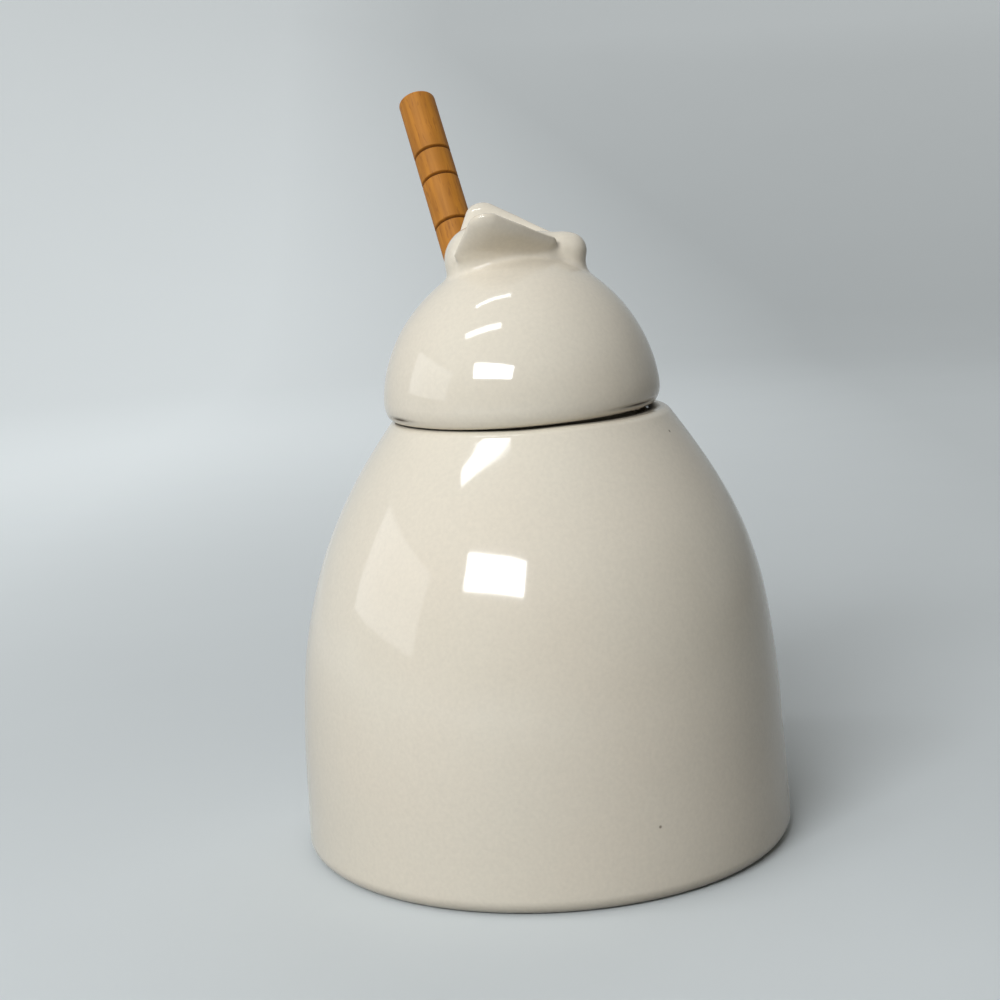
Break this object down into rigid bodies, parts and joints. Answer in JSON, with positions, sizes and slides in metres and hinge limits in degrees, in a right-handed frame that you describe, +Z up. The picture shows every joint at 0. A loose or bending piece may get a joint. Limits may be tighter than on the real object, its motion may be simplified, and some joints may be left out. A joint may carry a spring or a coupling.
{
  "type": "honey pot with lift-off lid and dipper",
  "caption": "Beehive honey pot in glazed ceramic with a notched lift-off lid, a bee for its knob, and a turned wooden dipper that leans out through the notch.",
  "frame": {"origin": "centre of the foot, on the table", "axes": "+Z up along the pot's axis; +X the pot's front, the way the bee looks; the dipper leans out toward +Y and a little to the back"},
  "size_m": [0.0998, 0.116, 0.1543],
  "materials": {
    "glazed_ceramic": "gloss",
    "beech": "satin"
  },
  "bodies": {
    "pot": {"pot_body": "glazed_ceramic"},
    "lid": {"lid_shell": "glazed_ceramic", "bee_body": "glazed_ceramic", "bee_wing_right": "glazed_ceramic", "bee_wing_left": "glazed_ceramic"},
    "dipper": {"dipper_head": "beech", "dipper_handle": "beech"}
  },
  "joints": [
    {"name": "lid_lift", "type": "slide", "parent": "pot", "child": "lid", "axis": [0, 0, 1], "range_m": [0, 0.09]},
    {"name": "dipper_draw", "type": "slide", "parent": "pot", "child": "dipper", "axis": [-0.2131, 0.5552, 0.8039], "range_m": [0, 0.06]}
  ]
}
